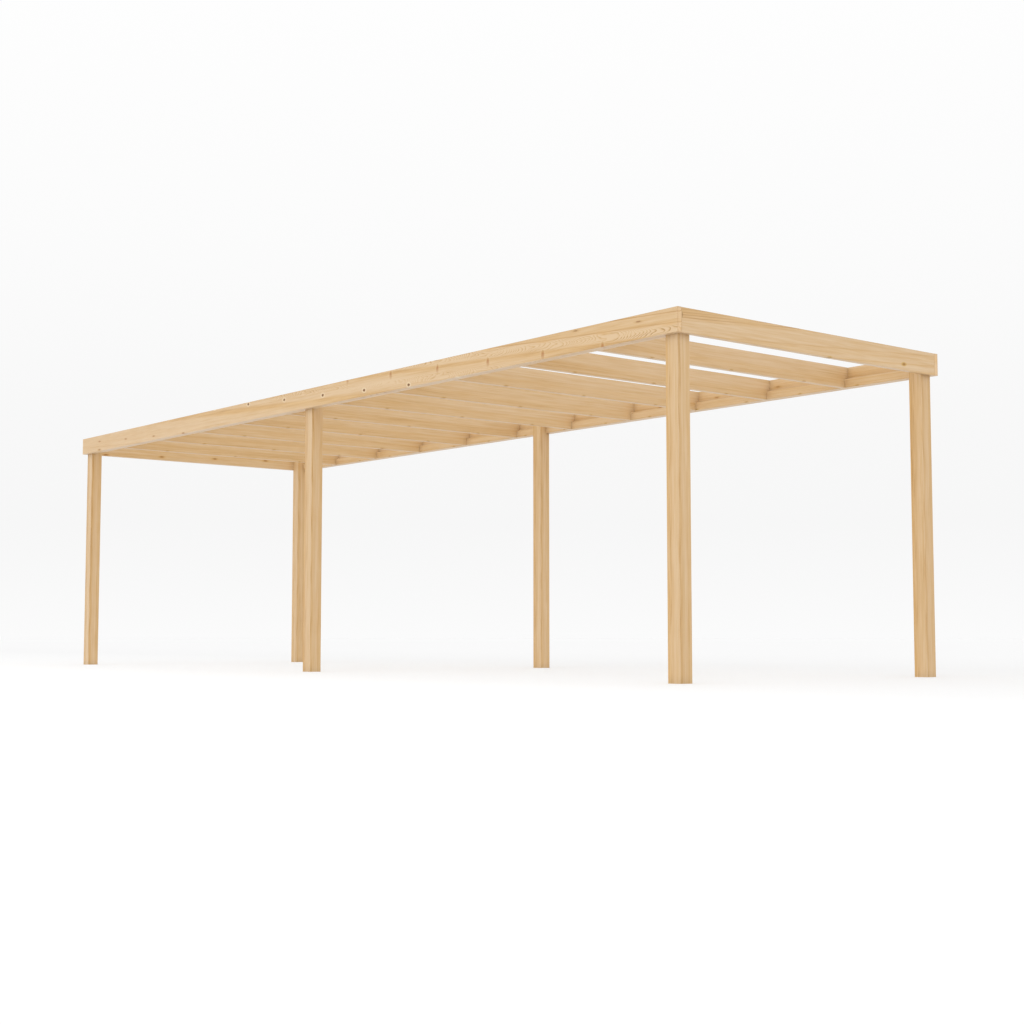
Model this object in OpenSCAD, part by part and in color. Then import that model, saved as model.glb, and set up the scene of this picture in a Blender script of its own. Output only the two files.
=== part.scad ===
// Freestanding flat-topped timber pergola on six square posts.
// +Z is up, X runs along the long side, and the front is at -Y. The origin is on the ground,
// at the middle of the plan. Every piece is a straight planed timber, square cut at its ends.

/* [Overall] */
// Length over the end fascias
frame_length = 9750; // [6000:50:12000]
// Width over the front and back fascias
frame_width = 3000; // [2000:50:4500]
// Height from the ground to the top of the frame
frame_height = 2625; // [2200:25:3200]

/* [Timber] */
// Side of the square posts
post_side = 120; // [90:5:200]
// Height of the boards that fascias and rafters are cut from
board_height = 180; // [140:5:250]
// Thickness of those boards
board_thickness = 44; // [28:1:60]
// Height of the ledgers that carry the rafters
ledger_height = 76; // [45:1:110]
// Thickness of the ledgers
ledger_thickness = 44; // [28:1:60]
// Radius of the rounded long edges of every timber
arris = 3; // [1:0.5:8]

/* [Rafters] */
// Rafters over each of the two bays
rafters_per_bay = 5; // [2:1:8]

/* [Fits] */
// Play at each sawn end that is cut to fit between two other pieces
cut_play = 1; // [0.5:0.1:3]
// Play between a rafter's notch and the inner face of the ledger in it
notch_play = 1; // [0.5:0.1:3]

/* [Hidden] */
$fn = 32;
SIDES = ["front", "back"];
POST_PLACES = ["left", "middle", "right"];
BAYS = ["left", "right"];
ENDS = ["left", "right"];

timber = [0.84, 0.73, 0.56];
post_timber = [0.86, 0.75, 0.59];

rafter_count = 2 * rafters_per_bay;
// Height of the underside of the fascias, ledgers and rafters
frame_underside = frame_height - board_height;
// Distances from the centre of the plan to the inner faces of the fascias
inner_x = frame_length / 2 - board_thickness;
inner_y = frame_width / 2 - board_thickness;
// Clear gap between neighbouring rafters, and between the outer rafters and the end fascias
rafter_gap = (2 * inner_x - rafter_count * board_thickness) / (rafter_count + 1);
// Length of the rafters and the end fascias, which are cut to fit between the long fascias
cross_length = 2 * (inner_y - cut_play);
// How far a notch reaches into a rafter from its sawn end
notch_length = ledger_thickness + notch_play - cut_play;
// How far a cutting block passes the faces that it cuts through
cut_past = 1;

function post_name(side, place) = str(SIDES[side], "_", POST_PLACES[place], "_post");
function fascia_name(side) = str(SIDES[side], "_fascia");
function end_fascia_name(end) = str(ENDS[end], "_end_fascia");
function ledger_name(side, bay) = str(SIDES[side], "_", BAYS[bay], "_ledger");
function rafter_name(i) = str("rafter_", i < 9 ? "0" : "", i + 1);

// -1 for the front or left piece of a pair, 1 for the back or right one
function outward(i) = 2 * i - 1;
function post_x(place) = (place - 1) * (inner_x - post_side / 2);
function post_y(side) = outward(side) * (inner_y - post_side / 2);
function rafter_x(i) = -inner_x + (i + 1) * rafter_gap + (i + 0.5) * board_thickness;

// Rectangle with rounded corners, centred on the origin
module section(wide, high) {
    square([wide - 2 * arris, high], center = true);
    square([wide, high - 2 * arris], center = true);
    for (x = [-1, 1], y = [-1, 1])
        translate([x * (wide / 2 - arris), y * (high / 2 - arris)]) circle(arris);
}

// Timber along +X, centred on X and Y, with its underside at Z = 0
module timber_along_x(length, thickness, height) {
    translate([-length / 2, 0, height / 2]) rotate([90, 0, 90])
        linear_extrude(length) section(thickness, height);
}

// The same timber along Y
module timber_along_y(length, thickness, height) {
    rotate([0, 0, 90]) timber_along_x(length, thickness, height);
}

// Square post from the ground to the top of the frame
module post(side, place) {
    color(post_timber) translate([post_x(place), post_y(side), 0])
        linear_extrude(frame_height) section(post_side, post_side);
}

// Long edge board on the outer faces of a row of posts, as long as the whole frame
module fascia(side) {
    color(timber) translate([0, outward(side) * (inner_y + board_thickness / 2), frame_underside])
        timber_along_x(frame_length, board_thickness, board_height);
}

// Short edge board on the outer faces of two corner posts, between the long fascias
module end_fascia(end) {
    color(timber) translate([outward(end) * (inner_x + board_thickness / 2), 0, frame_underside])
        timber_along_y(cross_length, board_thickness, board_height);
}

// Bearer on the inner face of a long fascia, cut to fit between two posts
module ledger(side, bay) {
    between_posts = post_x(bay + 1) - post_x(bay) - post_side;
    color(timber)
        translate([
            (post_x(bay) + post_x(bay + 1)) / 2,
            outward(side) * (inner_y - ledger_thickness / 2),
            frame_underside
        ])
            timber_along_x(between_posts - 2 * cut_play, ledger_thickness, ledger_height);
}

// Block that cuts the notch at one end of a rafter
module notch_block(side) {
    translate([
        -board_thickness / 2 - cut_past,
        side == 0 ? -cross_length / 2 - cut_past : cross_length / 2 - notch_length,
        -cut_past
    ])
        cube([board_thickness + 2 * cut_past, notch_length + cut_past, ledger_height + cut_past]);
}

// Cross board between the long fascias, notched at both ends to sit on the ledgers
module rafter(i) {
    color(timber) translate([rafter_x(i), 0, frame_underside])
        difference() {
            timber_along_y(cross_length, board_thickness, board_height);
            for (side = [0, 1]) notch_block(side);
        }
}

for (side = [0, 1], place = [0 : 2])
    post(side, place);
for (side = [0, 1])
    fascia(side);
for (end = [0, 1])
    end_fascia(end);
for (side = [0, 1], bay = [0, 1])
    ledger(side, bay);
for (i = [0 : rafter_count - 1])
    rafter(i);
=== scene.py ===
"""Looks for the freestanding timber pergola: planed pale softwood in a white studio.

Everything is in metres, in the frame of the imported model: X along the long side, the front at -Y,
+Z up, and the ground at Z = 0.
"""
import math
import random
from dataclasses import dataclass, replace

import bpy
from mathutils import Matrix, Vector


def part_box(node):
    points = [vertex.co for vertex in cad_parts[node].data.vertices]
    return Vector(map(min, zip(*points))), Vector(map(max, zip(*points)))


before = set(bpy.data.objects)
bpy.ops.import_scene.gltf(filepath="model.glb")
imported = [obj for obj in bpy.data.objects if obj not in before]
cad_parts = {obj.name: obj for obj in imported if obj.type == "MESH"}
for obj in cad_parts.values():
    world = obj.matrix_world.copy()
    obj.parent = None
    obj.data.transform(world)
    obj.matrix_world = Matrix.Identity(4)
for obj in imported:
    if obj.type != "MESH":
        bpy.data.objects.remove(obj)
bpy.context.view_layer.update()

# Camera, on a low tripod off the front right corner: angles in degrees, lens and sensor in millimetres
CAMERA_PLACE = (12.607, -9.3212, 0.3301)
CAMERA_PITCH = 4.458
CAMERA_TURN = 50.690
CAMERA_LENS = 55.85
SENSOR_WIDTH = 36.0

# Studio: the light from all round, and the lamp, whose tilt, turn and spread are in degrees
SKY_STRENGTH = 0.955
KEY_STRENGTH = 0.66
KEY_TILT = 62
KEY_TURN = 20
KEY_SPREAD = 100
FLOOR_SIZE = 300.0
FLOOR_ALBEDO = 0.74
FLOOR_ROUGHNESS = 0.9
# What the floor shows beyond the light on it, by its place from front to back: painted light in front of the
# pergola, and painted shade under and behind it
FLOOR_GLOW_AND_SHADE = ((-3.4, 0.245), (-2.6, 0.224), (-1.8, 0.197), (0.0, 0.172), (4.0, 0.140), (12.0, 0.152))
# Between these distances from the middle of the pergola the floor fades to its glow at the back, so that
# its far edge hardly shows
FLOOR_FADE = (16.0, 60.0)
# Brightness of the backdrop behind the pergola, by height above the horizon in degrees
BACKDROP = (
    (-90, 0.96), (0, 0.965), (2, 0.945), (4, 0.930), (8, 0.940), (11, 0.956), (14, 0.969), (22, 0.99),
    (40, 1.0),
)

# Softwood, from the palest to the darkest wood in it
WOOD_TONES = (
    (0.00, (0.765, 0.553, 0.332)),
    (0.25, (0.722, 0.498, 0.272)),
    (0.50, (0.680, 0.442, 0.206)),
    (0.75, (0.560, 0.340, 0.140)),
    (1.00, (0.420, 0.225, 0.075)),
)
# A tint multiplies the wood's colour: the golden bands of heartwood, and the thin brown rings in it
BAND_TINT = (0.95, 0.85, 0.60)
BAND_STRENGTH = 0.66
LINE_TINT = (0.80, 0.70, 0.58)
# How far from the middle of a thin ring it starts to show, and shows fully
LINE_REACH = (0.005, 0.001)
# Arrises, the long edges of a timber: their pale colour, partly handled wood and partly a painted highlight,
# and how much of it shows, the painted shade on the upper ones, and how far from the edge an arris starts to
# show, and shows fully
ARRIS_WEAR_AND_HIGHLIGHT = (0.76, 0.57, 0.36)
ARRIS_COVER = 0.35
UPPER_ARRIS_SHADE = (0.80, 0.80, 0.81)
ARRIS_REACH = (0.0045, 0.0005)
# Sawn ends and the rim round them, and how far from the edge the rim starts to show, and shows fully
END_TINT = (1.08, 1.05, 1.01)
END_RIM_TINT = (0.86, 0.83, 0.80)
END_RIM_REACH = (0.013, 0.004)
# How squarely a face looks along the grain where it starts to be a sawn end, and is one
END_FACING = (0.6, 0.9)
# Where the upper part of a board starts and is full, as a height from its middle
UPPER_PART = (-0.01, 0.01)
# Painted shade in the corner of a joint: its tint, and how far out of the corner it still shows
JOINT_SHADE_TINT = (0.80, 0.83, 0.87)
JOINT_SHADE_REACH = 0.065
WOOD_SHEEN = 0.15
BUMP_STRENGTH = 0.25
BUMP_HEIGHT = 0.0006
# How far the growth rings ripple and how far they bulge round a knot, and where the bulge starts and is
# full, in the knot's radii
RING_RIPPLE = 0.005
RING_BULGE = 0.007
BULGE_REACH = (5.0, 0.6)
# The most that a band's darkness may be
DARKEST_BAND = 2.0
# Darkness across one growth ring
LATEWOOD = ((0.0, 0.0), (0.3, 0.05), (0.66, 0.4), (0.86, 1.0), (0.94, 0.9), (1.0, 0.0))

# How far the noise of one timber lies from the next, for each unit of their seeds
SEED_SHIFT = (3.7, 1.3, 2.1)
# Where the distance from a knot or a flat-sawn zone stops counting, as nothing of it shows that far out
OUT_OF_REACH = 9.0


@dataclass(frozen=True)
class Knot:
    """A kind of knot, or another small mark with its shape.

    along, across: its radii along and across the grain
    fade: how much of it is lost on the side away from the heart, from 0 to 1
    stops: (distance from its middle in radii, colour, cover) from the middle outwards
    """
    along: float
    across: float
    fade: float
    stops: tuple


# How far the colours of a knot may reach from its middle, in its radii, and how ragged its outline is
KNOT_REACH = 2.5
KNOT_RAGGEDNESS = 0.6
# Knots, and then other marks: a golden flame along the grain, a short dark mark across it, and the brown
# strands of the posts
DOT_KNOT = Knot(0.0165, 0.0115, 0.0, (
    (0.0, (0.13, 0.035, 0.002), 0.98), (0.8, (0.20, 0.070, 0.004), 0.95), (1.05, (0.48, 0.25, 0.05), 0.7),
    (1.3, (0.85, 0.66, 0.43), 0.9), (1.7, (0.84, 0.65, 0.42), 0.8), (2.5, (0.80, 0.62, 0.38), 0.0)))
DASH_KNOT = Knot(0.0185, 0.037, 0.75, (
    (0.0, (0.42, 0.145, 0.026), 0.95), (0.6, (0.46, 0.180, 0.036), 0.9), (0.9, (0.56, 0.30, 0.09), 0.7),
    (1.3, (0.74, 0.52, 0.28), 0.4), (2.0, (0.76, 0.54, 0.30), 0.0)))
EYE_KNOT = Knot(0.027, 0.0058, 0.0, (
    (0.0, (0.36, 0.145, 0.022), 0.8), (0.6, (0.30, 0.115, 0.018), 0.8), (1.0, (0.45, 0.240, 0.07), 0.5),
    (1.6, (0.62, 0.380, 0.14), 0.3), (2.4, (0.62, 0.380, 0.14), 0.0)))
FAINT_EYE = Knot(0.032, 0.0085, 0.0, (
    (0.0, (0.46, 0.185, 0.045), 0.9), (0.6, (0.42, 0.160, 0.035), 0.9), (1.0, (0.56, 0.310, 0.11), 0.5),
    (1.6, (0.66, 0.430, 0.18), 0.2), (2.4, (0.66, 0.430, 0.18), 0.0)))
ROUND_KNOT = Knot(0.0175, 0.0088, 0.0, (
    (0.0, (0.44, 0.190, 0.014), 0.95), (0.6, (0.36, 0.150, 0.010), 0.95), (0.9, (0.42, 0.190, 0.014), 0.9),
    (1.4, (0.60, 0.340, 0.04), 0.8), (2.4, (0.64, 0.400, 0.10), 0.0)))
LONG_KNOT = Knot(0.030, 0.0085, 0.0, (
    (0.0, (0.34, 0.130, 0.016), 0.95), (0.6, (0.38, 0.150, 0.020), 0.9), (1.0, (0.52, 0.250, 0.05), 0.7),
    (1.6, (0.64, 0.380, 0.11), 0.4), (2.4, (0.64, 0.380, 0.11), 0.0)))
PALE_KNOT = Knot(0.027, 0.0075, 0.0, (
    (0.0, (0.40, 0.170, 0.030), 0.8), (0.6, (0.42, 0.185, 0.035), 0.7), (1.0, (0.54, 0.290, 0.08), 0.5),
    (1.6, (0.64, 0.390, 0.13), 0.3), (2.4, (0.64, 0.390, 0.13), 0.0)))
EDGE_KNOT = Knot(0.018, 0.0055, 0.0, (
    (0.0, (0.42, 0.185, 0.016), 0.65), (0.8, (0.46, 0.210, 0.020), 0.5), (1.3, (0.58, 0.330, 0.06), 0.3),
    (2.2, (0.62, 0.380, 0.10), 0.0)))
FLAME = Knot(0.060, 0.0080, 0.0, (
    (0.0, (0.68, 0.400, 0.14), 0.6), (0.8, (0.69, 0.420, 0.16), 0.5), (1.4, (0.70, 0.440, 0.18), 0.25),
    (2.2, (0.71, 0.450, 0.20), 0.0)))
DARK_CROSS_MARK = Knot(0.0045, 0.018, 0.0, (
    (0.0, (0.25, 0.120, 0.030), 0.7), (0.8, (0.30, 0.150, 0.040), 0.6), (1.4, (0.55, 0.350, 0.13), 0.2),
    (2.0, (0.60, 0.400, 0.16), 0.0)))
STRAND = Knot(0.095, 0.0042, 0.0, (
    (0.0, (0.54, 0.290, 0.095), 0.85), (0.8, (0.56, 0.320, 0.110), 0.7), (1.4, (0.62, 0.380, 0.15), 0.35),
    (2.3, (0.68, 0.440, 0.20), 0.0)))

# Trees that the front fascia and the posts came from: the spacing of their whorls of knots, and the
# place of one of them in the frame
FRONT_WHORL = 0.677
FRONT_KNOT = 0.041
POST_WHORL = 0.53
POST_KNOT = 1.02
# How far the grain of a post sways to each side between its knots
POST_SWAY = 0.005
# Where the heart of a post lies from its centre, as its sawn ends show
POST_HEART = (-0.01, 0.02)
post_low, post_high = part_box("front_left_post")
POST_SIDE = post_high[0] - post_low[0]
# The back posts are a little darker, a painted shade for the roof over them
POST_TONES_AND_SHADE = {"front": 0.03, "back": 0.11}
# Where some boards' bands, lines and knots are counted from, as a distance from the heart of the tree
HEART = 0.04

# Zones where the saw met the rings flat: the width of their edges and the spacing of their arches, and
# then how far the arches bow, and how far they swell between the knots, counted in arches
FIGURE_EDGE = 0.015
ARCH_PITCH = 0.050
ARCH_BOW = 2.2
ARCH_SWELL = 1.4

# Which way each kind of timber runs: the axis of its grain, of its width and of its thickness
X, Y, Z = range(3)
ALONG_X = (X, Z, Y)
ALONG_Y = (Y, Z, X)
UPRIGHT = (Z, X, Y)


@dataclass(frozen=True)
class Grain:
    """How one timber grew.

    For a post, a distance from the heart is a place round it instead, as unrolled() gives it, and it has no
    pith and no lean.

    bands: (distance from the heart, darkness) along one radius
    pith: where the heart of the tree lies from the timber's centre, up across it and through it
    lean: how far the heart shifts across for each metre along
    lines: (distance from the heart, darkness) of thin brown rings
    rows: rows of knots, each (kind, distance from the heart, place of one knot in the frame, pitch)
    figures: zones where the saw met the rings flat, each (nearest and furthest distance from the heart,
        strength)
    ring: width of a growth ring
    wander: how far the bands wander towards the heart and away from it
    tone: how much darker it is than most
    streaks: strength of its streaks
    seed: moves its noise, so that no two timbers match
    """
    bands: tuple
    pith: tuple = (0.0, 0.0)
    lean: float = 0.0
    lines: tuple = ()
    rows: tuple = ()
    figures: tuple = ()
    ring: float = 0.0075
    wander: float = 0.016
    tone: float = 0.0
    streaks: float = 1.0
    seed: float = 0.0


class Graph:
    """Short calls that add shader nodes to a tree and return their output sockets."""

    def __init__(self, tree):
        self.tree = tree

    def add(self, kind, inputs=(), **settings):
        node = self.tree.nodes.new("ShaderNode" + kind)
        for name, value in settings.items():
            setattr(node, name, value)
        for key, value in dict(inputs).items():
            self.feed(node.inputs[key], value)
        return node

    def feed(self, socket, value):
        if isinstance(value, bpy.types.NodeSocket):
            self.tree.links.new(value, socket)
        else:
            socket.default_value = value

    def math(self, operation, *values, clamp=False):
        return self.add("Math", enumerate(values), operation=operation, use_clamp=clamp).outputs[0]

    def vector(self, operation, *values):
        node = self.add("VectorMath", enumerate(values), operation=operation)
        return node.outputs["Value" if operation == "LENGTH" else "Vector"]

    def total(self, start, *parts):
        """Start plus value times amount for each (value, amount) of the parts."""
        for value, amount in parts:
            start = self.math("MULTIPLY_ADD", value, amount, start)
        return start

    def join(self, x, y, z):
        return self.add("CombineXYZ", {"X": x, "Y": y, "Z": z}).outputs[0]

    def split(self, vector):
        return self.add("SeparateXYZ", {"Vector": vector}).outputs

    def noise(self, vector, stretch, detail=2.0, roughness=0.5):
        """Noise about zero, mostly within -0.25 and 0.25; stretch is its cells per metre along each axis."""
        stretched = self.vector("MULTIPLY", vector, stretch)
        settings = {"Vector": stretched, "Scale": 1.0, "Detail": detail, "Roughness": roughness}
        return self.math("SUBTRACT", self.add("TexNoise", settings).outputs["Fac"], 0.5)

    def step(self, value, low, high):
        """0 at low, 1 at high, and smooth between; low may be the greater."""
        limits = {"Value": value, "From Min": low, "From Max": high}
        return self.add("MapRange", limits, interpolation_type="SMOOTHSTEP").outputs["Result"]

    def ramp(self, factor, stops):
        """Colour ramp through (place, colour or grey, cover) stops; cover may be left out."""
        node = self.add("ValToRGB", {"Fac": factor})
        band = node.color_ramp
        while len(band.elements) < len(stops):
            band.elements.new(1.0)
        for element, (place, colour, *cover) in zip(band.elements, stops):
            colour = colour if isinstance(colour, tuple) else (colour,) * 3
            element.position = place
            element.color = (*colour, *(cover or (1.0,)))
        return node.outputs

    def mix(self, factor, a, b, blend="MIX"):
        """Colour a, and by the factor colour b over it; a colour is an output or three numbers."""
        node = self.add("Mix", data_type="RGBA", blend_type=blend)
        # The node has a set of sockets for each type of data, and these are its colour sockets
        for index, value in ((0, factor), (6, a), (7, b)):
            self.feed(node.inputs[index], (*value, 1.0) if isinstance(value, tuple) else value)
        return node.outputs[2]

    def tint(self, factor, colour, tint):
        """Colour times the tint, by the factor."""
        return self.mix(factor, colour, tint, "MULTIPLY")


def softwood_group():
    """Planed spruce: growth rings, streaks and fibres laid over the bands of its heartwood."""
    group = bpy.data.node_groups.new("softwood", "ShaderNodeTree")
    for kind, names in (
        ("Vector", ("Place", "Half Size", "Shift")),
        ("Float", (
            "Radius", "Ring", "Bands", "Line", "Figure", "Arch", "Knot", "End", "Upper", "Tone", "Streaks")),
    ):
        for name in names:
            group.interface.new_socket(name=name, in_out="INPUT", socket_type="NodeSocket" + kind)
    for name, kind in (("Colour", "Color"), ("Roughness", "Float"), ("Height", "Float")):
        group.interface.new_socket(name=name, in_out="OUTPUT", socket_type="NodeSocket" + kind)
    g = Graph(group)
    given = group.nodes.new("NodeGroupInput").outputs
    result = group.nodes.new("NodeGroupOutput").inputs
    place = g.vector("ADD", given["Place"], given["Shift"])
    patch = g.step(g.noise(place, (0.5, 12.0, 12.0)), -0.25, 0.2)
    ring = g.math("MULTIPLY", growth_rings(g, given, place), patch)
    fibre = g.noise(place, (7.0, 360.0, 360.0), 2.0, 0.6)

    colour = g.ramp(wood_darkness(g, given, place, ring, patch, fibre), WOOD_TONES)["Color"]
    bands = g.math("MULTIPLY", given["Bands"], g.math("ADD", g.noise(place, (1.1, 20.0, 20.0)), 1.0))
    colour = g.tint(g.math("MULTIPLY", bands, BAND_STRENGTH), colour, BAND_TINT)
    seam = g.math("MULTIPLY", given["Line"], g.step(g.noise(place, (1.6, 9.0, 9.0)), -0.30, 0.10))
    colour = g.tint(seam, colour, LINE_TINT)
    g.feed(result["Colour"], edge_wear_light_and_shade(g, given, colour))
    g.feed(result["Roughness"], g.total(0.37, (ring, 0.05), (fibre, 0.15), (given["End"], 0.25)))
    g.feed(result["Height"], g.total(fibre, (ring, 0.5)))
    return group


def growth_rings(g, given, place):
    """Darkness of the growth rings, which ripple along the timber and bulge round knots."""
    ripple = g.noise(place, (1.8, 28.0, 28.0))
    bulge = g.step(given["Knot"], *BULGE_REACH)
    radius = g.total(given["Radius"], (ripple, RING_RIPPLE), (bulge, RING_BULGE))
    turn = g.math("DIVIDE", radius, given["Ring"])
    # Some rings are wider than others
    turn = g.total(turn, (g.math("SINE", g.math("MULTIPLY", turn, 1.7)), 0.32))
    return g.ramp(g.math("FRACT", turn), LATEWOOD)["Color"]


def wood_darkness(g, given, place, ring, patch, fibre):
    """How dark the wood is, as a place in WOOD_TONES."""
    keen = g.total(0.24, (given["Bands"], 0.36), (given["Figure"], -0.12), (given["End"], 0.15))

    # Where the saw met the rings flat they show as nested arches
    arch = g.total(given["Arch"], (g.noise(place, (5.0, 22.0, 22.0), 1.0), 5.0))
    arch = g.math("MULTIPLY", g.ramp(g.math("FRACT", arch), LATEWOOD)["Color"], given["Figure"])

    long_streaks = g.noise(place, (0.8, 48.0, 48.0), 2.5, 0.6)
    short_streaks = g.noise(place, (3.5, 75.0, 75.0), 1.5, 0.6)
    streaks = g.total(0.0, (long_streaks, 0.80), (short_streaks, 0.70))
    broad_change = g.noise(place, (0.22, 7.0, 7.0), 1.5)
    mottling = g.noise(place, (4.0, 16.0, 16.0), 1.0)
    return g.total(
        g.math("ADD", given["Tone"], 0.20),
        (ring, keen),
        (arch, g.total(0.36, (patch, 0.70))),
        (given["Figure"], -0.29),
        (streaks, given["Streaks"]),
        (broad_change, 0.26),
        (mottling, 0.22),
        (fibre, 0.30),
        (given["End"], -0.34),
    )


def edge_wear_light_and_shade(g, given, colour):
    """Arrises a little paler as handled wood and a painted highlight, upper ones in painted shade, end rims
    darker.
    """
    inside = g.split(g.vector("SUBTRACT", given["Half Size"], g.vector("ABSOLUTE", given["Place"])))
    across, through = inside[1], inside[2]
    arris = g.math("MULTIPLY", g.step(across, *ARRIS_REACH), g.step(through, *ARRIS_REACH))
    upper = g.math("MULTIPLY", arris, given["Upper"])
    lower = g.math("SUBTRACT", arris, upper)
    # Painted highlight: the lower arrises are paler, partly as handled wood; painted shade darkens the upper
    # ones
    colour = g.mix(g.math("MULTIPLY", lower, ARRIS_COVER), colour, ARRIS_WEAR_AND_HIGHLIGHT)
    colour = g.tint(upper, colour, UPPER_ARRIS_SHADE)
    colour = g.tint(given["End"], colour, END_TINT)
    rim = g.step(g.math("MINIMUM", across, through), *END_RIM_REACH)
    return g.tint(g.math("MULTIPLY", rim, given["End"]), colour, END_RIM_TINT)


def wood_material(name, softwood, low, high, axes, grain):
    """Material for one timber, whose box runs from low to high."""
    material = bpy.data.materials.new(name)
    material.use_nodes = True
    g = Graph(material.node_tree)
    shader = material.node_tree.nodes["Principled BSDF"]
    centre = [(a + b) / 2 for a, b in zip(low, high)]
    half = [(b - a) / 2 for a, b in zip(low, high)]
    local = g.split(g.vector("SUBTRACT", g.add("TexCoord").outputs["Object"], centre))
    along, across, through = (local[axis] for axis in axes)
    place = g.join(along, across, through)
    shift = [grain.seed * distance for distance in SEED_SHIFT]
    shifted = g.vector("ADD", place, shift)
    normal = g.split(g.add("NewGeometry").outputs["Normal"])
    end = g.step(g.math("ABSOLUTE", normal[axes[0]]), *END_FACING)

    if axes == UPRIGHT:
        upper = 0.0
        wander = g.noise(shifted, (2.0, 8.0, 8.0), 1.0)
        sway = whorl_wave(g, along, POST_KNOT - centre[Z], POST_WHORL)
        straight = g.total(unrolled(g, across, through, normal, end), (sway, -POST_SWAY))
        from_heart = straight
    else:
        upper = g.step(across, *UPPER_PART)
        wander = g.noise(shifted, (0.5, 8.0, 8.0), 1.0)
        straight = g.total(g.math("SUBTRACT", grain.pith[0], across), (along, grain.lean))
        beside = g.math("SUBTRACT", through, grain.pith[1])
        from_heart = g.vector("LENGTH", g.join(0.0, straight, beside))
    from_heart = g.total(from_heart, (wander, grain.wander))
    figure, arch = arches(g, along, from_heart, grain.figures)
    nearest, marks = knot_marks(g, along, straight, shifted, centre[axes[0]], grain.rows)

    wood = g.add("Group", {
        "Place": place, "Half Size": [half[axis] for axis in axes], "Shift": shift, "Radius": from_heart,
        "Ring": grain.ring, "Bands": band_ramp(g, from_heart, grain.bands),
        "Line": thin_lines(g, from_heart, grain.lines), "Figure": figure, "Arch": arch, "Knot": nearest,
        "End": end, "Upper": upper, "Tone": grain.tone, "Streaks": grain.streaks,
    }, node_tree=softwood).outputs
    colour = wood["Colour"]
    on_side = g.math("SUBTRACT", 1.0, end)
    for mark, strength in marks:
        cover = g.math("MULTIPLY", mark["Alpha"], g.math("MULTIPLY", strength, on_side))
        colour = g.mix(cover, colour, mark["Color"])
    # Painted shade: there is less open air round a place in the corner of a joint, so the wood there is
    # darkened
    open_air = g.add("AmbientOcclusion", {"Distance": JOINT_SHADE_REACH}, samples=4).outputs["AO"]
    colour = g.tint(g.math("SUBTRACT", 1.0, open_air), colour, JOINT_SHADE_TINT)

    bump = g.add("Bump", {"Height": wood["Height"], "Strength": BUMP_STRENGTH, "Distance": BUMP_HEIGHT})
    g.feed(shader.inputs["Base Color"], colour)
    g.feed(shader.inputs["Roughness"], wood["Roughness"])
    g.feed(shader.inputs["Normal"], bump.outputs["Normal"])
    shader.inputs["Sheen Weight"].default_value = WOOD_SHEEN
    return material


def band_ramp(g, from_heart, bands):
    """Darkness of the bands, up to DARKEST_BAND, at a distance from the heart."""
    reach = bands[-1][0]
    stops = [(place / reach, darkness / DARKEST_BAND) for place, darkness in bands]
    grey = g.ramp(g.math("DIVIDE", from_heart, reach, clamp=True), stops)["Color"]
    return g.math("MULTIPLY", grey, DARKEST_BAND)


def thin_lines(g, from_heart, lines):
    """Darkness of the thin brown rings at these distances from the heart."""
    mask = 0.0
    for place, darkness in lines:
        apart = g.math("ABSOLUTE", g.math("SUBTRACT", from_heart, place))
        mask = g.math("MAXIMUM", mask, g.math("MULTIPLY", g.step(apart, *LINE_REACH), darkness))
    return mask


def whorl_wave(g, along, knot, whorl):
    """A sine along the timber that rises from zero at a knot and turns once for each whorl."""
    return g.math("SINE", g.math("MULTIPLY", g.math("SUBTRACT", along, knot), 2 * math.pi / whorl))


def arches(g, along, from_heart, figures):
    """How much a place shows flat-sawn rings, and a value whose whole numbers run along those rings."""
    if not figures:
        return 0.0, 0.0
    figure = 0.0
    bow = OUT_OF_REACH
    for near, far, strength in figures:
        past_near = g.step(from_heart, near, near + FIGURE_EDGE)
        before_far = g.step(from_heart, far, far - FIGURE_EDGE)
        inside = g.math("MULTIPLY", past_near, before_far)
        figure = g.math("MAXIMUM", figure, g.math("MULTIPLY", inside, strength))
        aside = g.math("DIVIDE", g.math("SUBTRACT", from_heart, (near + far) / 2), (far - near) / 2)
        bow = g.math("MINIMUM", bow, g.math("MULTIPLY", aside, aside))
    swell = whorl_wave(g, along, FRONT_KNOT, FRONT_WHORL)
    return figure, g.total(g.math("DIVIDE", along, ARCH_PITCH), (swell, -ARCH_SWELL), (bow, ARCH_BOW))


def knot_marks(g, along, straight, shifted, middle, rows):
    """Distance from the nearest knot in its radii, and each row's (colour and cover, strength)."""
    ragged = g.math("MULTIPLY", g.noise(shifted, (60.0, 60.0, 60.0), 1.0), KNOT_RAGGEDNESS)
    nearest = OUT_OF_REACH
    marks = []
    for kind, from_heart, first, pitch in rows:
        beside = g.math("WRAP", g.math("SUBTRACT", along, first - middle), pitch / 2, -pitch / 2)
        out = g.math("SUBTRACT", straight, from_heart)
        radii = g.join(g.math("DIVIDE", beside, kind.along), g.math("DIVIDE", out, kind.across), 0.0)
        apart = g.math("ADD", g.vector("LENGTH", radii), ragged)
        nearest = g.math("MINIMUM", nearest, apart)
        strength = g.total(1.0, (g.step(out, -kind.across, kind.across), -kind.fade))
        stops = [(radius / KNOT_REACH, colour, cover) for radius, colour, cover in kind.stops]
        marks.append((g.ramp(g.math("DIVIDE", apart, KNOT_REACH), stops), strength))
    return nearest, marks


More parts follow.
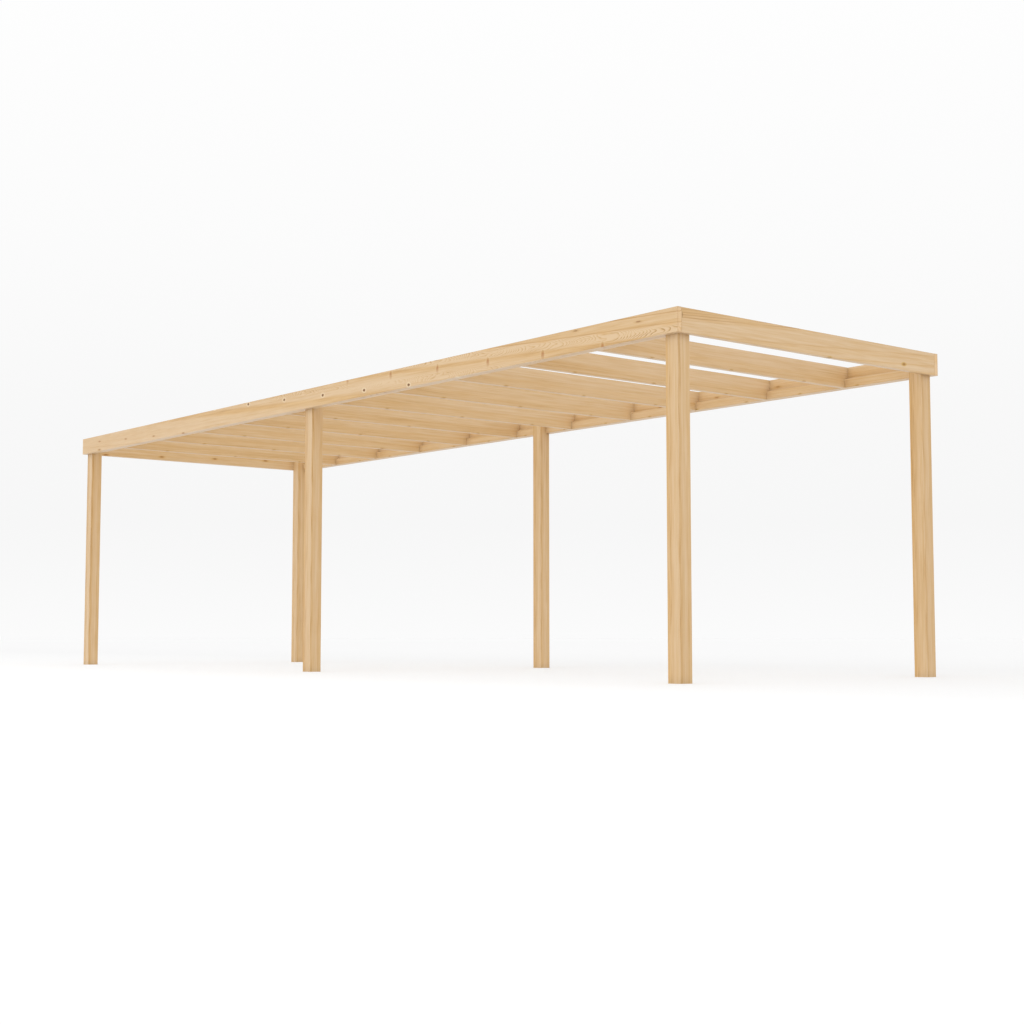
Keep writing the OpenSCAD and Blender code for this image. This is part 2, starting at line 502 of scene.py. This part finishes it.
def unrolled(g, x, y, normal, end):
    """Place round a post from the left of its front face, which its bands follow on every side.

    The faces come in the order -Y, +X, +Y, -X. On the sawn ends it is the distance from the heart.
    """
    on_x = g.math("GREATER_THAN", g.math("ABSOLUTE", normal[X]), g.math("ABSOLUTE", normal[Y]))
    across_y_face = g.math("MULTIPLY", x, g.math("MULTIPLY", g.math("SIGN", normal[Y]), -1.0))
    across_x_face = g.math("MULTIPLY", y, g.math("SIGN", normal[X]))
    back = g.math("LESS_THAN", g.math("SUBTRACT", normal[X], normal[Y]), 0.0)
    face = g.total(on_x, (back, 2.0))
    place = g.math("ADD", across_y_face, POST_SIDE / 2)
    place = g.total(place, (on_x, g.math("SUBTRACT", across_x_face, across_y_face)), (face, POST_SIDE))
    out_x = g.math("SUBTRACT", x, POST_HEART[X])
    out_y = g.math("SUBTRACT", y, POST_HEART[Y])
    from_heart = g.vector("LENGTH", g.join(out_x, out_y, 0.0))
    return g.total(place, (end, g.math("SUBTRACT", from_heart, place)))


def dress(node, softwood, axes, grain):
    """Gives a CAD node its own wood."""
    low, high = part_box(node)
    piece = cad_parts[node]
    piece.data.materials.clear()
    piece.data.materials.append(wood_material(node + "_wood", softwood, low, high, axes, grain))


def past_heart(*places):
    """(distance from the heart, darkness) of bands or lines whose places are counted from HEART."""
    return tuple((HEART + place, darkness) for place, darkness in places)


# How each kind of timber grew
FRONT_FASCIA = Grain(
    pith=(0.3416 + HEART, -0.022), lean=-0.0516, seed=1.0,
    figures=((0.113 + HEART, 0.193 + HEART, 1.0), (0.250 + HEART, 0.322 + HEART, 0.55)),
    bands=past_heart(
        (-0.04, 0.2), (0.028, 0.2), (0.034, 0.9), (0.044, 0.22), (0.074, 0.35), (0.088, 0.35), (0.098, 0.6),
        (0.112, 0.9), (0.120, 0.15), (0.182, 0.2), (0.198, 1.17), (0.210, 1.12), (0.226, 0.58),
        (0.246, 0.18), (0.335, 0.1), (0.350, 0.65), (0.366, 1.4), (0.386, 1.4), (0.406, 0.85),
        (0.416, 0.35), (0.475, 0.0), (0.500, 0.35), (0.530, 0.15), (0.555, 0.45), (0.575, 0.05),
        (0.606, 0.65), (0.630, 0.2), (0.70, 0.1)),
    lines=past_heart(
        (0.0345, 1.0), (0.111, 1.0), (0.196, 0.4), (0.210, 0.3), (0.358, 0.4), (0.388, 0.35), (0.607, 0.4)),
    rows=(
        (EYE_KNOT, HEART + 0.071, 0.421, FRONT_WHORL), (DASH_KNOT, HEART + 0.225, FRONT_KNOT, FRONT_WHORL),
        (DOT_KNOT, HEART + 0.326, 0.309, FRONT_WHORL), (FAINT_EYE, HEART + 0.549, 0.314, FRONT_WHORL),
        (LONG_KNOT, HEART + 0.644, 0.314, FRONT_WHORL), (FLAME, HEART + 0.118, 0.052, FRONT_WHORL)))
# Its tone is a little paler than most: painted light, for the stronger light at the right end of the pergola
RIGHT_FASCIA = Grain(
    pith=(0.18 + HEART, 0.022), lean=0.06, seed=3.0, wander=0.009, tone=-0.03,
    bands=past_heart(
        (-0.04, 0.9), (0.045, 0.8), (0.092, 0.7), (0.106, 0.1), (0.125, 0.06), (0.188, 0.08),
        (0.199, 0.6), (0.207, 0.65), (0.220, 0.35), (0.236, 0.5), (0.250, 0.2), (0.262, 0.1),
        (0.272, 0.35), (0.281, 1.0), (0.294, 0.5), (0.305, 0.0), (0.325, 0.0), (0.336, 0.5),
        (0.345, 1.3), (0.36, 1.3)),
    lines=past_heart(
        (0.017, 0.7), (0.039, 0.7), (0.057, 1.1), (0.077, 1.4), (0.096, 0.4), (0.201, 0.3), (0.282, 0.3)),
    rows=(
        (ROUND_KNOT, HEART + 0.2855, 1.055, 0.914), (DARK_CROSS_MARK, HEART + 0.058, -1.450, 2.9),
        (DARK_CROSS_MARK, HEART + 0.2326, 1.462, 2.9)))
LEFT_FASCIA = Grain(
    pith=(0.20, 0.022), lean=0.0365, seed=4.0,
    bands=(
        (0.0, 0.6), (0.06, 0.8), (0.09, 0.3), (0.15, 0.2), (0.20, 0.3), (0.232, 0.6), (0.25, 0.2),
        (0.30, 0.1)),
    rows=((LONG_KNOT, 0.2325, 0.209, 0.7195),))
BACK_FASCIA = Grain(
    pith=(0.17, 0.022), lean=0.0134, seed=2.0,
    bands=(
        (0.0, 0.4), (0.05, 0.5), (0.10, 0.2), (0.16, 0.3), (0.19, 0.7), (0.22, 0.5), (0.25, 0.1),
        (0.30, 0.2)),
    rows=((PALE_KNOT, 0.193, 2.456, 0.749),))
LEDGER = Grain(
    pith=(0.10, 0.03),
    bands=((0.0, 0.2), (0.05, 0.3), (0.08, 0.5), (0.11, 0.2), (0.14, 0.4), (0.20, 0.2)),
    rows=((EDGE_KNOT, 0.130, 0.98, 0.6285),))
RAFTER = Grain(
    pith=(0.09 + HEART, 0.022), wander=0.010,
    bands=past_heart(
        (-0.04, 0.1), (0.03, 0.05), (0.095, 0.15), (0.106, 0.55), (0.119, 0.75), (0.131, 0.5), (0.144, 0.65),
        (0.156, 0.3), (0.20, 0.2)),
    rows=((EDGE_KNOT, HEART + 0.176, 0.0, 0.885),))
POST = Grain(
    wander=0.012, streaks=0.95,
    rows=tuple(
        (STRAND, half_way_round + out, first, pitch)
        for half_way_round in (0, 2 * POST_SIDE)
        for out, first, pitch in ((0.036, POST_KNOT, POST_WHORL), (0.132, 0.905, 0.47))),
    lines=((0.015, 0.3), (0.048, 0.3), (0.132, 0.15), (0.208, 0.2), (0.262, 0.3), (0.345, 0.3)),
    bands=((0.0, 1.3), (0.012, 1.2), (0.022, 0.85), (0.032, 0.4), (0.048, 0.5), (0.058, 0.3), (0.070, 0.0),
           (0.118, 0.0), (0.1235, 0.6), (0.133, 1.0), (0.148, 0.5), (0.165, 0.05), (0.190, 0.1), (0.206, 0.5),
           (0.220, 0.6), (0.235, 0.5), (0.250, 0.9), (0.265, 0.5), (0.290, 0.1), (0.320, 0.3), (0.340, 0.8),
           (0.360, 0.6), (0.380, 0.2), (0.420, 0.1), (0.450, 0.5), (0.470, 1.0), (0.480, 1.1)))


def add_camera():
    """The photo's own viewpoint."""
    data = bpy.data.cameras.new("camera")
    data.lens = CAMERA_LENS
    data.sensor_width = SENSOR_WIDTH
    data.clip_end = 2 * FLOOR_SIZE
    camera = bpy.data.objects.new("camera", data)
    camera.location = CAMERA_PLACE
    camera.rotation_euler = (math.radians(90 + CAMERA_PITCH), 0, math.radians(CAMERA_TURN))
    bpy.context.scene.collection.objects.link(camera)
    bpy.context.scene.camera = camera


def seen_directly(g):
    """1 for the rays that show a surface itself or its image in a gloss or a glass, and 0 for its light."""
    rays = g.add("LightPath").outputs
    seen = g.math("MAXIMUM", rays["Is Camera Ray"], rays["Is Glossy Ray"])
    return g.math("MAXIMUM", seen, rays["Is Transmission Ray"])


def set_world():
    """White light from all round, in front of a backdrop that is a little greyer behind the pergola."""
    world = bpy.data.worlds.new("studio")
    bpy.context.scene.world = world
    world.use_nodes = True
    g = Graph(world.node_tree)
    background = world.node_tree.nodes["Background"]
    height = g.split(g.add("TexCoord").outputs["Generated"])[Z]
    stops = [(0.5 + math.sin(math.radians(angle)) / 2, grey) for angle, grey in BACKDROP]
    shown = g.ramp(g.math("MULTIPLY_ADD", height, 0.5, 0.5), stops)["Color"]
    light = (SKY_STRENGTH,) * 3
    g.feed(background.inputs["Color"], g.mix(seen_directly(g), light, shown))


def add_key_light():
    """A very broad, weak lamp from the front right, as a large studio softbox gives."""
    data = bpy.data.lights.new("key", "SUN")
    data.energy = KEY_STRENGTH
    data.angle = math.radians(KEY_SPREAD)
    lamp = bpy.data.objects.new("key", data)
    lamp.rotation_euler = (math.radians(KEY_TILT), 0, math.radians(KEY_TURN))
    bpy.context.scene.collection.objects.link(lamp)


def add_floor():
    """White ground, which shows camera, glossy and transmission rays a little more light than falls on it."""
    bpy.ops.mesh.primitive_plane_add(size=FLOOR_SIZE)
    floor = bpy.context.object
    floor.name = "floor"
    material = bpy.data.materials.new("floor_white")
    material.use_nodes = True
    g = Graph(material.node_tree)
    shader = material.node_tree.nodes["Principled BSDF"]
    shader.inputs["Base Color"].default_value = (FLOOR_ALBEDO, FLOOR_ALBEDO, FLOOR_ALBEDO, 1)
    shader.inputs["Roughness"].default_value = FLOOR_ROUGHNESS
    front, back = FLOOR_GLOW_AND_SHADE[0][0], FLOOR_GLOW_AND_SHADE[-1][0]
    position = g.add("NewGeometry").outputs["Position"]
    depth = g.math("DIVIDE", g.math("SUBTRACT", g.split(position)[Y], front), back - front, clamp=True)
    # Painted light and shade: the glow is greater in front of the pergola and less under and behind it
    shown = g.ramp(depth, [((place - front) / (back - front), glow) for place, glow in FLOOR_GLOW_AND_SHADE])["Color"]
    far = g.step(g.vector("LENGTH", position), *FLOOR_FADE)
    shown = g.mix(far, shown, (FLOOR_GLOW_AND_SHADE[-1][1],) * 3)
    glow = g.add("Emission", {"Strength": g.math("MULTIPLY", seen_directly(g), shown)})
    both = g.add("AddShader", ((0, shader.outputs[0]), (1, glow.outputs[0])))
    g.feed(material.node_tree.nodes["Material Output"].inputs["Surface"], both.outputs[0])
    floor.data.materials.append(material)


add_camera()
bpy.context.scene.view_settings.view_transform = "Standard"
set_world()
add_key_light()
add_floor()

softwood = softwood_group()
random.seed(7)
dress("front_fascia", softwood, ALONG_X, FRONT_FASCIA)
dress("back_fascia", softwood, ALONG_X, BACK_FASCIA)
dress("right_end_fascia", softwood, ALONG_Y, RIGHT_FASCIA)
dress("left_end_fascia", softwood, ALONG_Y, LEFT_FASCIA)
for side in ("front", "back"):
    for bay in ("left", "right"):
        dress(f"{side}_{bay}_ledger", softwood, ALONG_X, replace(LEDGER, seed=random.uniform(5, 9)))
    for place in ("left", "middle", "right"):
        # The back posts' higher tone is a painted shade
        post = replace(POST, seed=random.uniform(5, 9), tone=POST_TONES_AND_SHADE[side])
        dress(f"{side}_{place}_post", softwood, UPRIGHT, post)
for node in sorted(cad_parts):
    if node.startswith("rafter_"):
        dress(node, softwood, ALONG_Y, replace(RAFTER, seed=random.uniform(10, 20)))
